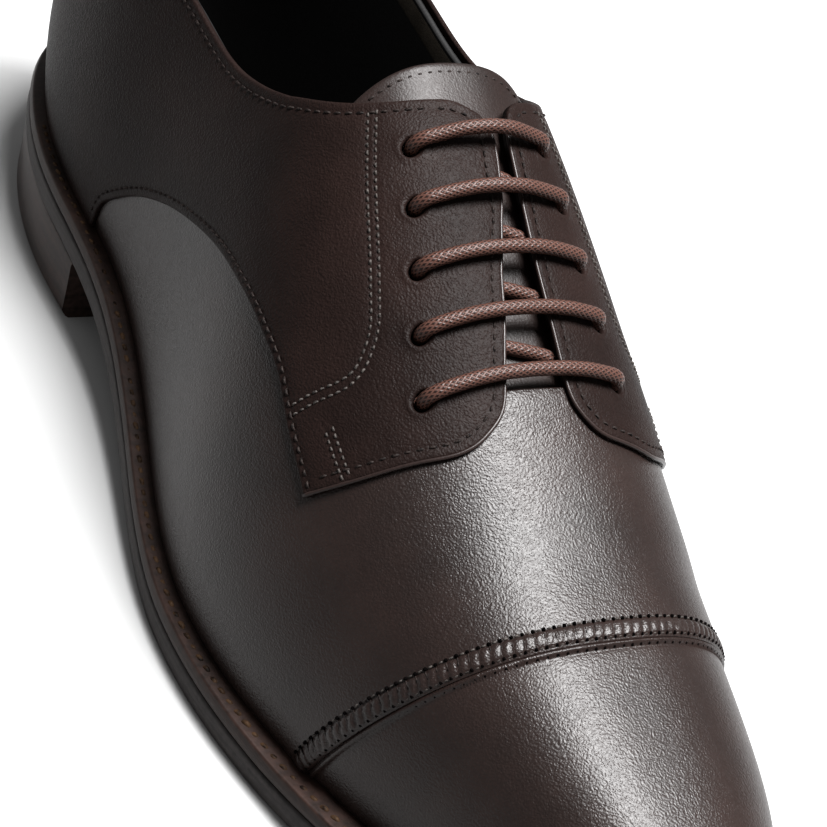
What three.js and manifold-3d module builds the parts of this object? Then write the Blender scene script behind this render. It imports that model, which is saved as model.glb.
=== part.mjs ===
// A right derby shoe with a toe cap, standing on its heel and tread.
// +X runs to the toe, +Y to the medial side, +Z up, the floor is z = 0, in millimetres.
import * as THREE from 'three';
import ManifoldModule from 'manifold-3d';
import { mergeVertices } from 'three/addons/utils/BufferGeometryUtils.js';

// Driving sizes.
const LENGTH = 302;          // outsole from heel to toe
const BALL_WIDTH = 100;      // outsole across the ball
const INSTEP = 93;           // last above its feather line at the throat
const BACK_HEIGHT = 67.5;    // collar above the heel seat, at the back
const HEEL_LIFT = 16.2;      // underside of the outsole above the floor, at the heel
const TOE_SPRING = 12.2;     // underside of the outsole above the floor, at the toe
const HEEL_LENGTH = 82;      // heel from its back to its breast
const OUTSOLE = 5.0;         // thickness of the outsole
const WELT = 3.3;            // thickness of the welt and midsole
const WELT_STEP = 3.6;       // top face of the welt beyond the upper
const SEAT_STEP = 1.6;       // the same at the back of the heel seat
const TREAD_FLAT = 0.4;      // depth worn off the ball to a flat spot
const GAP = 0.3;             // clearance between pieces that meet
const WALL = 3.0;            // quarter with its lining
const VAMP_STEP = 1.1;       // vamp below the quarter's face
const CAP_STEP = 1.7;        // toe cap below the quarter's face
const BAND_STEP = 0.5;       // seam band below the quarter's face
const BAND_WIDTH = 4.0;      // puffed seam band behind the cap seam
const INSOLE = 2.4;          // thickness of the insole
const TONGUE = 1.8;          // thickness of the tongue
const TONGUE_REACH = 0.34;   // half width of the tongue, as a share of the last's arc
const TOE_DRIFT = 1.4;       // toe to the lateral side of the heel's line
const LACE = 2.8;            // diameter of the round lace
const EYELET = 4.2;          // diameter of an eyelet's hole
const EYELET_PAIRS = 5;
const LACE_BEND = 2.6;       // radius of a lace where it turns into its eyelet
const HEEL_BEVEL = 1.2;      // bevel round the foot of the heel
const HEEL_TAPER = 0.4;      // inward slope of the heel's side, from its top to its bevel
const SOLE_BEVEL = 0.9;      // bevel round the foot of the outsole
const BACK_BULGE = 3.0;      // heel of the last behind its feather line
const BACK_LEAN = 5.0;       // top of the back ahead of that bulge
const BACK_SHARE = 0.22;     // stretch of the length that bulges and leans
const TUCK_LIFT = 0.5;       // share of a section's height that draws in to the feather line
const SLACK = 0.1;           // more room under the facings, where they curve
const TONGUE_FROM = 0.452;   // upper end of the tongue, as a share of the length
const TONGUE_TO = 0.695;     // lower end of the tongue, under the vamp
const SLIVER = 0.02;         // edges shorter than this are closed after the cuts
const LACE_DIP = 2.0;        // depth that a lace's end reaches into its eyelet

const LATERAL = -1;
const MEDIAL = 1;
const FEATHER = OUTSOLE + GAP + WELT + GAP;
const SEAT = HEEL_LIFT + FEATHER - TREAD_FLAT;
const LACE_RIDE = LACE / 2 + 2 * GAP;

// Outline of the sole: shares of the length, and half widths as shares of the ball width.
const OUTLINE = [
  { share: 0.000, lateral: 0.000, medial: 0.000 },
  { share: 0.020, lateral: 0.174, medial: 0.174 },
  { share: 0.060, lateral: 0.274, medial: 0.256 },
  { share: 0.130, lateral: 0.356, medial: 0.300 },
  { share: 0.220, lateral: 0.394, medial: 0.314 },
  { share: 0.330, lateral: 0.391, medial: 0.304 },
  { share: 0.450, lateral: 0.448, medial: 0.354 },
  { share: 0.570, lateral: 0.520, medial: 0.442 },
  { share: 0.660, lateral: 0.517, medial: 0.486 },
  { share: 0.740, lateral: 0.466, medial: 0.472 },
  { share: 0.820, lateral: 0.388, medial: 0.424 },
  { share: 0.890, lateral: 0.302, medial: 0.366 },
  { share: 0.950, lateral: 0.212, medial: 0.274 },
  { share: 0.985, lateral: 0.132, medial: 0.164 },
  { share: 1.000, lateral: 0.000, medial: 0.000 },
];

// Sections of the last: share of the length, half widths as shares of the ball width,
// height as a share of the instep, and the roundness of each section's side and top.
const SECTIONS = [
  { share: 0.000, lateral: 0.000, medial: 0.000, crown: 0.925, side: 2.20, top: 2.20 },
  { share: 0.020, lateral: 0.168, medial: 0.158, crown: 1.002, side: 2.20, top: 2.20 },
  { share: 0.060, lateral: 0.286, medial: 0.250, crown: 1.070, side: 2.20, top: 2.20 },
  { share: 0.130, lateral: 0.360, medial: 0.296, crown: 1.106, side: 2.25, top: 2.20 },
  { share: 0.220, lateral: 0.388, medial: 0.316, crown: 1.078, side: 2.40, top: 2.10 },
  { share: 0.330, lateral: 0.378, medial: 0.338, crown: 1.046, side: 2.50, top: 1.90 },
  { share: 0.450, lateral: 0.434, medial: 0.418, crown: 0.994, side: 2.55, top: 1.80 },
  { share: 0.570, lateral: 0.509, medial: 0.478, crown: 0.847, side: 2.35, top: 1.80 },
  { share: 0.660, lateral: 0.506, medial: 0.484, crown: 0.685, side: 2.30, top: 1.85 },
  { share: 0.740, lateral: 0.453, medial: 0.456, crown: 0.553, side: 2.40, top: 1.90 },
  { share: 0.820, lateral: 0.370, medial: 0.410, crown: 0.443, side: 2.60, top: 2.00 },
  { share: 0.890, lateral: 0.286, medial: 0.356, crown: 0.344, side: 2.55, top: 2.10 },
  { share: 0.950, lateral: 0.195, medial: 0.259, crown: 0.250, side: 2.40, top: 2.10 },
  { share: 0.985, lateral: 0.114, medial: 0.150, crown: 0.172, side: 2.35, top: 2.10 },
  { share: 1.000, lateral: 0.000, medial: 0.000, crown: 0.066, side: 2.30, top: 2.10 },
];

// Underside of the outsole: shares of the heel lift and of the toe spring.
const UNDERSIDE = [
  { share: 0.000, heel: 1.06, toe: 0.00 },
  { share: 0.066, heel: 1.02, toe: 0.00 },
  { share: 0.132, heel: 1.00, toe: 0.00 },
  { share: 0.200, heel: 1.00, toe: 0.00 },
  { share: 0.271, heel: 0.93, toe: 0.00 },
  { share: 0.331, heel: 0.75, toe: 0.00 },
  { share: 0.397, heel: 0.49, toe: 0.00 },
  { share: 0.480, heel: 0.21, toe: 0.00 },
  { share: 0.580, heel: 0.03, toe: 0.00 },
  { share: 0.680, heel: 0.00, toe: 0.00 },
  { share: 0.780, heel: 0.00, toe: 0.12 },
  { share: 0.894, heel: 0.00, toe: 0.53 },
  { share: 1.000, heel: 0.00, toe: 1.00 },
];

// Collar line from the back to the top of the facings, as shares of the back height.
const COLLAR = [
  { share: -0.050, height: 1.000 },
  { share: 0.030, height: 1.000 },
  { share: 0.120, height: 0.967 },
  { share: 0.220, height: 0.925 },
  { share: 0.293, height: 0.897 },
  { share: 0.345, height: 0.873 },
  { share: 0.370, height: 0.882 },
  { share: 0.423, height: 0.960 },
  { share: 0.465, height: 1.067 },
  { share: 0.481, height: 1.130 },
  { share: 0.500, height: 1.200 },
  { share: 0.530, height: 1.300 },
];

// Front edge of the quarter, from the feather line over its crest to the corner of the tab.
const QUARTER = [
  { share: 0.273, rise: -0.020 },
  { share: 0.276, rise: 0.070 },
  { share: 0.291, rise: 0.139 },
  { share: 0.316, rise: 0.221 },
  { share: 0.346, rise: 0.303 },
  { share: 0.376, rise: 0.372 },
  { share: 0.418, rise: 0.451 },
  { share: 0.458, rise: 0.510 },
  { share: 0.490, rise: 0.537 },
  { share: 0.521, rise: 0.549 },
  { share: 0.546, rise: 0.549 },
  { share: 0.573, rise: 0.536 },
  { share: 0.611, rise: 0.477 },
  { share: 0.644, rise: 0.431 },
];
// Front edge of the tab, from its corner up to the throat.
const TAB = [
  { share: 0.644, rise: 0.431 },
  { share: 0.658, rise: 0.503 },
  { share: 0.666, rise: 0.551 },
  { share: 0.672, rise: 0.586 },
  { share: 0.677, rise: 0.625 },
  { share: 0.678, rise: 0.760 },
];
// Edges of the facings seen from above: shares of the length and of the ball width.
const FACING_OUT = [
  { share: 0.450, across: 0.020 },
  { share: 0.503, across: 0.021 },
  { share: 0.532, across: 0.014 },
  { share: 0.571, across: -0.018 },
  { share: 0.605, across: -0.045 },
  { share: 0.645, across: -0.078 },
  { share: 0.657, across: -0.088 },
  { share: 0.665, across: -0.105 },
  { share: 0.672, across: -0.135 },
  { share: 0.676, across: -0.185 },
  { share: 0.685, across: -0.330 },
];
const FACING_IN = [
  { share: 0.450, across: 0.066 },
  { share: 0.503, across: 0.062 },
  { share: 0.532, across: 0.056 },
  { share: 0.571, across: 0.050 },
  { share: 0.605, across: 0.053 },
  { share: 0.645, across: 0.056 },
  { share: 0.657, across: 0.059 },
  { share: 0.666, across: 0.076 },
  { share: 0.673, across: 0.105 },
  { share: 0.677, across: 0.150 },
  { share: 0.685, across: 0.330 },
];
const VAMP_CUT = 0.645;      // where the vamp's cut starts to close, as a share of the length
const THROAT_END = 0.652;    // closed end of the vamp's cut, as a share of the length

// The cap seam lies in a plane that leans back towards the feather line.
const CAP = { share: 0.797, height: 53.5, lean: 0.327 };
// Eyelet rows from the top pair to the lowest: shares of the length, then of the ball width.
const EYELETS = {
  first: 0.506,
  last: 0.642,
  outFirst: 0.144,
  outLast: 0.225,
  inFirst: 0.156,
  inLast: 0.196,
};

const wasm = await ManifoldModule();
wasm.setup();

// Natural cubic spline through knots, as a function.
function spline(knots, values) {
  const n = knots.length;
  const bend = new Array(n).fill(0);
  const diagonal = new Array(n).fill(1);
  const upper = new Array(n).fill(0);
  const right = new Array(n).fill(0);
  for (let i = 1; i < n - 1; i += 1) {
    const before = knots[i] - knots[i - 1];
    const after = knots[i + 1] - knots[i];
    const jump = (values[i + 1] - values[i]) / after - (values[i] - values[i - 1]) / before;
    const factor = before / diagonal[i - 1];
    diagonal[i] = 2 * (before + after) - factor * upper[i - 1];
    upper[i] = after;
    right[i] = 6 * jump - factor * right[i - 1];
  }
  for (let i = n - 2; i > 0; i -= 1) bend[i] = (right[i] - upper[i] * bend[i + 1]) / diagonal[i];
  return (x) => {
    let k = 0;
    while (k < n - 2 && x > knots[k + 1]) k += 1;
    const h = knots[k + 1] - knots[k];
    const t = (x - knots[k]) / h;
    const s = 1 - t;
    return s * values[k] + t * values[k + 1]
      + (h * h * ((s ** 3 - s) * bend[k] + (t ** 3 - t) * bend[k + 1])) / 6;
  };
}

// Stations are spaced by a cosine, so that the plan closes round at heel and toe.
const stationOf = (share) => Math.acos(1 - 2 * THREE.MathUtils.clamp(share, 0, 1)) / Math.PI;
const shareOf = (station) => (1 - Math.cos(Math.PI * station)) / 2;
const column = (table, name) => spline(
  table.map((row) => stationOf(row.share)),
  table.map((row) => row[name]),
);
const soleHalf = { [LATERAL]: column(OUTLINE, 'lateral'), [MEDIAL]: column(OUTLINE, 'medial') };
const bodyHalf = { [LATERAL]: column(SECTIONS, 'lateral'), [MEDIAL]: column(SECTIONS, 'medial') };
const crown = column(SECTIONS, 'crown');
const sidePower = column(SECTIONS, 'side');
const topPower = column(SECTIONS, 'top');
const underside = spline(
  UNDERSIDE.map((row) => row.share * LENGTH),
  UNDERSIDE.map((row) => row.heel * HEEL_LIFT + row.toe * TOE_SPRING),
);
const tread = (x) => Math.max(0, underside(x) - TREAD_FLAT);

const ramp = (t) => Math.sin(Math.PI * THREE.MathUtils.clamp(t, 0, 0.5));
const taper = (station) => ramp(station * 6) * ramp((1 - station) * 6);
const middle = (share) => -TOE_DRIFT * THREE.MathUtils.clamp((share - 0.45) / 0.55, 0, 1) ** 2;

// Outline of the sole on one side, grown outwards by some millimetres.
function solePoint(station, side, grow) {
  const share = shareOf(station);
  const half = Math.max(0, soleHalf[side](station)) * BALL_WIDTH;
  const reach = half < 1e-6 ? 0 : half + grow * taper(station);
  return { x: share * (LENGTH + 2 * grow) - grow, y: middle(share) + side * reach };
}

// Point on the last: across runs from -1, the lateral feather line, over the crown at 0, to 1.
function lastPoint(station, across, grow = 0) {
  const share = shareOf(station);
  const side = across < 0 ? LATERAL : MEDIAL;
  const inset = WELT_STEP - grow;
  const edge = taper(station);
  const back = Math.max(0, 1 - share / BACK_SHARE) ** 2;
  const seatFill = (WELT_STEP - SEAT_STEP) * back;
  const foot = soleHalf[side](station) * BALL_WIDTH - (inset - seatFill) * edge;
  const body = bodyHalf[side](station) * BALL_WIDTH + grow * edge;
  const angle = (1 - Math.abs(across)) * (Math.PI / 2);
  const lift = Math.sin(angle) ** (2 / topPower(station));
  const tuck = Math.max(0, 1 - lift / TUCK_LIFT) ** 3;
  let reach = body * Math.cos(angle) ** (2 / sidePower(station)) - (body - foot) * tuck;
  if (edge < 1e-9 || across === 0) reach = 0;
  let x = inset + share * (LENGTH - 2 * inset);
  const height = crown(station) * INSTEP + grow;
  const z = tread(x) + FEATHER + height * lift;
  const above = (z - SEAT) / BACK_HEIGHT;
  const bulge = Math.sin(Math.PI * THREE.MathUtils.clamp(above * 1.3, 0, 1));
  const lean = (THREE.MathUtils.clamp(above - 0.4, 0, 1.2) / 0.6) ** 2;
  x += back * (BACK_LEAN * lean - BACK_BULGE * bulge) - seatFill;
  return new THREE.Vector3(x, middle(share) + side * reach, z);
}

// Collects triangles over shared corners and drops those that collapse.
class Skin {
  constructor() {
    this.corners = [];
    this.index = new Map();
    this.faces = [];
  }

  corner(x, y, z) {
    const key = [x, y, z].map((value) => Math.round(value * 2000)).join(' ');
    if (!this.index.has(key)) {
      this.index.set(key, this.corners.length / 3);
      this.corners.push(x, y, z);
    }
    return this.index.get(key);
  }

  face(a, b, c) {
    if (a !== b && b !== c && c !== a) this.faces.push(a, b, c);
  }

  // Closed rings of equal length joined in order, as in a loft, with open or flat ends.
  loft(rings, capEnds) {
    const ids = rings.map((ring) => ring.map((p) => this.corner(p.x, p.y, p.z)));
    const count = ids[0].length;
    for (let i = 0; i + 1 < ids.length; i += 1) {
      for (let j = 0; j < count; j += 1) {
        const k = (j + 1) % count;
        this.face(ids[i][j], ids[i + 1][j], ids[i + 1][k]);
        this.face(ids[i][j], ids[i + 1][k], ids[i][k]);
      }
    }
    if (capEnds) {
      const last = ids[ids.length - 1];
      for (let j = 0; j < count / 2 - 1; j += 1) {
        this.strip(ids[0], j, count);
        this.strip([...last].reverse(), j, count);
      }
    }
  }

  // One quad of a cap between a ring's first half and its second half.
  strip(ring, j, count) {
    const k = count - 1 - j;
    this.face(ring[j], ring[j + 1], ring[k]);
    this.face(ring[j + 1], ring[k - 1], ring[k]);
  }

  geometry() {
    const result = new THREE.BufferGeometry();
    result.setAttribute('position', new THREE.Float32BufferAttribute(this.corners, 3));
    result.setIndex(this.faces);
    return result;
  }
}

function toSolid(geometry) {
  const plain = geometry.clone();
  plain.deleteAttribute('normal');
  plain.deleteAttribute('uv');
  const merged = mergeVertices(plain, 1e-4);
  return new wasm.Manifold(new wasm.Mesh({
    numProp: 3,
    vertProperties: new Float32Array(merged.attributes.position.array),
    triVerts: new Uint32Array(merged.index.array),
  }));
}

function toGeometry(solid) {
  const mesh = solid.getMesh();
  const result = new THREE.BufferGeometry();
  result.setAttribute('position', new THREE.Float32BufferAttribute(mesh.vertProperties, 3));
  result.setIndex(Array.from(mesh.triVerts));
  return result;
}

// Closed plate that follows the sole's outline. Each level has a height over x and a growth.
function plate(levels, from, to, steps) {
  const rings = [];
  for (let i = 0; i <= steps; i += 1) {
    const station = from + ((to - from) * i) / steps;
    const ring = [];
    const corner = (level, side) => {
      const p = solePoint(station, side, level.grow);
      return new THREE.Vector3(p.x, p.y, level.height(p.x));
    };
    levels.forEach((level) => ring.push(corner(level, LATERAL)));
    [...levels].reverse().forEach((level) => ring.push(corner(level, MEDIAL)));
    rings.push(ring);
  }
  const skin = new Skin();
  skin.loft(rings, to < 1);
  return skin.geometry();
}

// The last's whole form, grown or shrunk, closed under its feather line.
function lastForm(grow, drop, steps = 40, arc = 24) {
  const rings = [];
  for (let i = 0; i <= steps; i += 1) {
    const ring = [];
    for (let j = 0; j <= arc; j += 1) ring.push(lastPoint(i / steps, -1 + (2 * j) / arc, grow));
    if (drop > 0) {
      const first = ring[0];
      const last = ring[arc];
      ring.push(new THREE.Vector3(last.x, last.y, last.z - drop));
      ring.unshift(new THREE.Vector3(first.x, first.y, first.z - drop));
    }
    rings.push(ring);
  }
  const skin = new Skin();
  skin.loft(rings, false);
  return toSolid(skin.geometry());
}

const SIDE_REACH = 90;
// Prism across the shoe with an outline in x and z.
function sidePrism(outline) {
  const shape = new THREE.Shape(outline.map((p) => new THREE.Vector2(p.x, p.z)));
  const geometry = new THREE.ExtrudeGeometry(shape, { depth: 2 * SIDE_REACH, bevelEnabled: false });
  geometry.rotateX(Math.PI / 2);
  geometry.translate(0, SIDE_REACH, 0);
  return toSolid(geometry);
}

// Upright prism with an outline in x and y.
function planPrism(outline, low, high) {
  const shape = new THREE.Shape(outline.map((p) => new THREE.Vector2(p.x, p.y)));
  const geometry = new THREE.ExtrudeGeometry(shape, { depth: high - low, bevelEnabled: false });
  geometry.translate(0, 0, low);
  return toSolid(geometry);
}

// Points along a smooth line through rows that were placed in the side view.
function sideLine(rows, count) {
  const knots = rows.map((row) => {
    const x = row.share * LENGTH;
    return new THREE.Vector2(x, tread(x) + FEATHER + row.rise * INSTEP);
  });
  return new THREE.SplineCurve(knots).getPoints(count).map((p) => ({ x: p.x, z: p.y }));
}

const TOP = SEAT + INSTEP + BACK_HEIGHT;
function aboveCollar() {
  const knots = COLLAR.map((row) => new THREE.Vector2(row.share * LENGTH, SEAT + row.height * BACK_HEIGHT));
  const line = new THREE.SplineCurve(knots).getPoints(36).map((p) => ({ x: p.x, z: p.y }));
  const end = line[line.length - 1];
  return sidePrism([...line, { x: end.x, z: TOP }, { x: line[0].x, z: TOP }]);
}

// All that lies below and ahead of the quarter's front edge.
function aheadOfQuarter() {
  const rim = [...sideLine(QUARTER, 26), ...sideLine(TAB, 8).slice(1)];
  const last = rim[rim.length - 1];
  const front = LENGTH + WELT_STEP;
  return sidePrism([
    { x: rim[0].x, z: -OUTSOLE },
    ...rim,
    { x: last.x, z: TOP },
    { x: front, z: TOP },
    { x: front, z: -OUTSOLE },
  ].reverse());
}

function facingLine(rows, count, end) {
  const knots = rows.filter((row) => row.share <= end);
  const corner = (row) => new THREE.Vector2(row.share * LENGTH, row.across * BALL_WIDTH);
  const curve = new THREE.SplineCurve(knots.map(corner));
  return curve.getPoints(count).map((p) => ({ x: p.x, y: p.y }));
}

// Upright cut between the facings. The quarters open to a wide end, the vamp to a round one.
function throat(forVamp) {
  const end = forVamp ? VAMP_CUT : 1;
  const out = facingLine(FACING_OUT, 20, end);
  const inside = facingLine(FACING_IN, 20, end);
  const outline = [...out, ...inside.reverse()];
  if (forVamp) {
    const a = out[out.length - 1];
    const b = inside[0];
    const bow = [0.25, 0.5, 0.75].map((t) => ({
      x: a.x + (THROAT_END * LENGTH - a.x) * Math.sin(Math.PI * t),
      y: a.y + (b.y - a.y) * t,
    }));
    outline.splice(out.length, 0, ...bow);
  }
  return planPrism(outline, SEAT, TOP);
}

// Slab between two planes parallel to the cap seam, set back and forward from it.
function capSlab(behind, ahead) {
  const foot = -OUTSOLE;
  const seamAt = (z) => CAP.share * LENGTH - (CAP.height - z) * CAP.lean;
  return sidePrism([
    { x: seamAt(foot) - behind, z: foot }, { x: seamAt(foot) + ahead, z: foot },
    { x: seamAt(TOP) + ahead, z: TOP }, { x: seamAt(TOP) - behind, z: TOP },
  ]);
}

// Where a pair's eyelet lies, as a station and a place across the last.
function eyeletPlace(pair, side) {
  const t = pair / (EYELET_PAIRS - 1);
  const station = stationOf(THREE.MathUtils.lerp(EYELETS.first, EYELETS.last, t));
  const first = side < 0 ? EYELETS.outFirst : EYELETS.inFirst;
  const last = side < 0 ? EYELETS.outLast : EYELETS.inLast;
  const aim = THREE.MathUtils.lerp(first, last, t) * BALL_WIDTH;
  let across = 0;
  while (Math.abs(lastPoint(station, side * across).y - middle(shareOf(station))) < aim) across += 0.002;
  return { station, across: side * across };
}

// The last's outward direction at a place, from two short steps along it.
function outward(station, across) {
  const step = 0.004;
  const along = lastPoint(station + step, across).sub(lastPoint(station - step, across));
  const over = lastPoint(station, across + step).sub(lastPoint(station, across - step));
  return along.cross(over).normalize();
}

function eyeletHole(pair, side) {
  const { station, across } = eyeletPlace(pair, side);
  const depth = 4 * WALL;
  const geometry = new THREE.CylinderGeometry(EYELET / 2, EYELET / 2, depth, 12);
  const upright = new THREE.Vector3(0, 1, 0);
  const turn = new THREE.Quaternion().setFromUnitVectors(upright, outward(station, across));
  geometry.applyQuaternion(turn);
  const centre = lastPoint(station, across);
  geometry.translate(centre.x, centre.y, centre.z);
  return toSolid(geometry);
}

function upperGeometry() {
  const quarter = lastForm(0, 0).subtract(aheadOfQuarter()).subtract(throat(false));
  const vamp = lastForm(-VAMP_STEP, 0).subtract(capSlab(0, LENGTH));
  const band = lastForm(-BAND_STEP, 0).intersect(capSlab(BAND_WIDTH, 0));
  const cap = lastForm(-CAP_STEP, 0);
  let form = quarter.add(vamp).add(band).add(cap);
  form = form.subtract(lastForm(-WALL, WALL));
  form = form.subtract(aboveCollar()).subtract(throat(true));
  for (let pair = 0; pair < EYELET_PAIRS; pair += 1) {
    form = form.subtract(eyeletHole(pair, LATERAL)).subtract(eyeletHole(pair, MEDIAL));
  }
  return toGeometry(form.simplify(SLIVER));
}

// Sheet under the facings, from above the collar to under the vamp.
function tongueGeometry() {
  const top = -WALL - GAP - SLACK;
  const from = stationOf(TONGUE_FROM);
  const to = stationOf(TONGUE_TO);
  const steps = 15;
  const arc = 8;
  const rings = [];
  for (let i = 0; i <= steps; i += 1) {
    const t = i / steps;
    const station = from + (to - from) * t;
    const reach = TONGUE_REACH * (1 - 0.3 * Math.max(0, 1 - t / 0.12) ** 2);
    const ring = [];
    const corner = (j, grow) => lastPoint(station, reach * (-1 + (2 * j) / arc), grow);
    for (let j = 0; j <= arc; j += 1) ring.push(corner(j, top));
    for (let j = arc; j >= 0; j -= 1) ring.push(corner(j, top - TONGUE));
    rings.push(ring);
  }
  const skin = new Skin();
  skin.loft(rings, true);
  return skin.geometry();
}

// Quarter turn of a lace out of its eyelet, towards the throat.
function laceTurn(pair, side) {
  const { station, across } = eyeletPlace(pair, side);
  const rim = lastPoint(station, across);
  const up = outward(station, across);
  const inner = lastPoint(station, across * 0.9).sub(rim).normalize();
  const rise = LACE_RIDE - LACE_BEND;
  const path = [rim.clone().addScaledVector(up, -LACE_DIP)];
  for (let k = 0; k <= 3; k += 1) {
    const angle = (Math.PI / 6) * k;
    path.push(rim.clone()
      .addScaledVector(inner, LACE_BEND * (1 - Math.cos(angle)))
      .addScaledVector(up, rise + LACE_BEND * Math.sin(angle)));
  }
  return path;
}

function laceGeometry(pair) {
  const out = eyeletPlace(pair, LATERAL);
  const inside = eyeletPlace(pair, MEDIAL);
  const over = [];
  for (let k = -2; k <= 2; k += 1) {
    const across = k < 0 ? out.across * -k * 0.27 : inside.across * k * 0.27;
    over.push(lastPoint(out.station, across, LACE_RIDE));
  }
  const path = [...laceTurn(pair, LATERAL), ...over, ...laceTurn(pair, MEDIAL).reverse()];
  const curve = new THREE.CatmullRomCurve3(path, false, 'centripetal');
  const ring = new THREE.Shape();
  ring.absarc(0, 0, LACE / 2, 0, 2 * Math.PI);
  return mergedExtrusion(ring, curve, 22);
}

function mergedExtrusion(shape, curve, steps) {
  const settings = { steps, extrudePath: curve, curveSegments: 4, bevelEnabled: false };
  const geometry = new THREE.ExtrudeGeometry(shape, settings);
  geometry.deleteAttribute('normal');
  geometry.deleteAttribute('uv');
  return mergeVertices(geometry, 1e-4);
}

function outsoleGeometry() {
  return plate([
    { grow: -SOLE_BEVEL, height: (x) => tread(x) },
    { grow: 0, height: (x) => tread(x) + SOLE_BEVEL },
    { grow: 0, height: (x) => tread(x) + OUTSOLE },
  ], 0, 1, 48);
}

function weltGeometry() {
  const base = OUTSOLE + GAP;
  return plate([
    { grow: -0.2, height: (x) => tread(x) + base },
    { grow: 0.1, height: (x) => tread(x) + base + WELT / 2 },
    { grow: -0.3, height: (x) => tread(x) + base + WELT },
  ], 0, 1, 48);
}

function heelGeometry() {
  return plate([
    { grow: -HEEL_TAPER - HEEL_BEVEL / 2, height: () => 0 },
    { grow: -HEEL_TAPER, height: () => HEEL_BEVEL },
    { grow: -GAP, height: (x) => tread(x) - GAP },
  ], 0, stationOf(HEEL_LENGTH / LENGTH), 20);
}

function insoleGeometry() {
  const grow = -(WELT_STEP + WALL + GAP);
  return plate([
    { grow, height: (x) => tread(x) + FEATHER },
    { grow, height: (x) => tread(x) + FEATHER + INSOLE },
  ], 0, 1, 30);
}

const material = (color, roughness) => new THREE.MeshStandardMaterial({ color, roughness, metalness: 0 });
const upperLeather = material(0x2e2220, 0.38);
const soleRubber = material(0x1b1a1b, 0.6);
const weltLeather = material(0x3b2a24, 0.5);
const heelStack = material(0x1d1817, 0.4);
const liningBlack = material(0x0d0c0c, 0.8);
const laceCord = material(0x5a372c, 0.6);

const shoe = new THREE.Group();
function piece(name, geometry, finish) {
  const mesh = new THREE.Mesh(geometry, finish);
  mesh.name = name;
  mesh.geometry.computeVertexNormals();
  shoe.add(mesh);
}

piece('outsole', outsoleGeometry(), soleRubber);
piece('welt', weltGeometry(), weltLeather);
piece('heel_block', heelGeometry(), heelStack);
piece('insole', insoleGeometry(), liningBlack);
piece('upper', upperGeometry(), upperLeather);
piece('tongue', tongueGeometry(), upperLeather);
for (let pair = 0; pair < EYELET_PAIRS; pair += 1) {
  piece(`lace_bar_${pair + 1}`, laceGeometry(pair), laceCord);
}

// The origin is at the middle of the shoe's box, on the floor.
const middleOfBox = new THREE.Box3().setFromObject(shoe).getCenter(new THREE.Vector3());
shoe.position.set(-middleOfBox.x, -middleOfBox.y, 0);

export default shoe;
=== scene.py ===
# A right derby shoe with a toe cap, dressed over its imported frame.
# Sizes are in millimetres in the shoe's own frame: x to the toe, y to the medial side, z up.
import math

import bpy
import numpy as np
from mathutils import Matrix, Vector, geometry, kdtree


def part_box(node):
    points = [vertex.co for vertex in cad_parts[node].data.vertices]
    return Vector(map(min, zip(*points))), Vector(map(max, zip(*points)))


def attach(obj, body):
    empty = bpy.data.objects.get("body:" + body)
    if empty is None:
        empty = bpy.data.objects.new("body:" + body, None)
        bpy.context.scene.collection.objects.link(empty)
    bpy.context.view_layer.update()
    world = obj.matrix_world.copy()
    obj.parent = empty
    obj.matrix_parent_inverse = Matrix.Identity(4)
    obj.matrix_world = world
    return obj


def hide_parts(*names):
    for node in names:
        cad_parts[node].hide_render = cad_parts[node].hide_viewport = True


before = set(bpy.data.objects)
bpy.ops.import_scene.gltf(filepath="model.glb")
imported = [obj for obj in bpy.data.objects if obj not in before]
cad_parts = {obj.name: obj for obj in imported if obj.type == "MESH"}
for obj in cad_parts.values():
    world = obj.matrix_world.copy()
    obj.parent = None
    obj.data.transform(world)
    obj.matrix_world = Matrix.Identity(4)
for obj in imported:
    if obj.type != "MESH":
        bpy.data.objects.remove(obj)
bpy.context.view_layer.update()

# Driving sizes, as in the solids.
LENGTH = 302.0
BALL_WIDTH = 100.0
INSTEP = 93.0
BACK_HEIGHT = 67.5
HEEL_LIFT = 16.2
TOE_SPRING = 12.2
HEEL_LENGTH = 82.0
OUTSOLE = 5.0
WELT = 3.3
WELT_STEP = 3.6
SEAT_STEP = 1.6
TREAD_FLAT = 0.4
GAP = 0.3
TOE_DRIFT = 1.4
BACK_BULGE = 3.0
BACK_LEAN = 5.0
BACK_SHARE = 0.22
TUCK_LIFT = 0.5
FOOT_FILL = 0.7
FEATHER = OUTSOLE + GAP + WELT + GAP
SEAT = HEEL_LIFT + FEATHER - TREAD_FLAT
LATERAL, MEDIAL = -1, 1

# Depths of the layers under the quarter's face.
VAMP_FACE = -1.1
CAP_FACE = -1.75
LINING_FACE = -1.5
LINING_BACK = -3.0
UNDER_LACE = -2.9
TONGUE_FACE = -4.0

# Outline of the sole: share of the length, lateral and medial half widths over the ball width.
OUTLINE = np.array([
    (0.000, 0.000, 0.000), (0.020, 0.174, 0.174), (0.060, 0.274, 0.256), (0.130, 0.356, 0.300),
    (0.220, 0.394, 0.314), (0.330, 0.391, 0.304), (0.450, 0.448, 0.354), (0.570, 0.520, 0.442),
    (0.660, 0.517, 0.486), (0.740, 0.466, 0.472), (0.820, 0.388, 0.424), (0.890, 0.302, 0.366),
    (0.950, 0.212, 0.274), (0.985, 0.132, 0.164), (1.000, 0.000, 0.000)])
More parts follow.
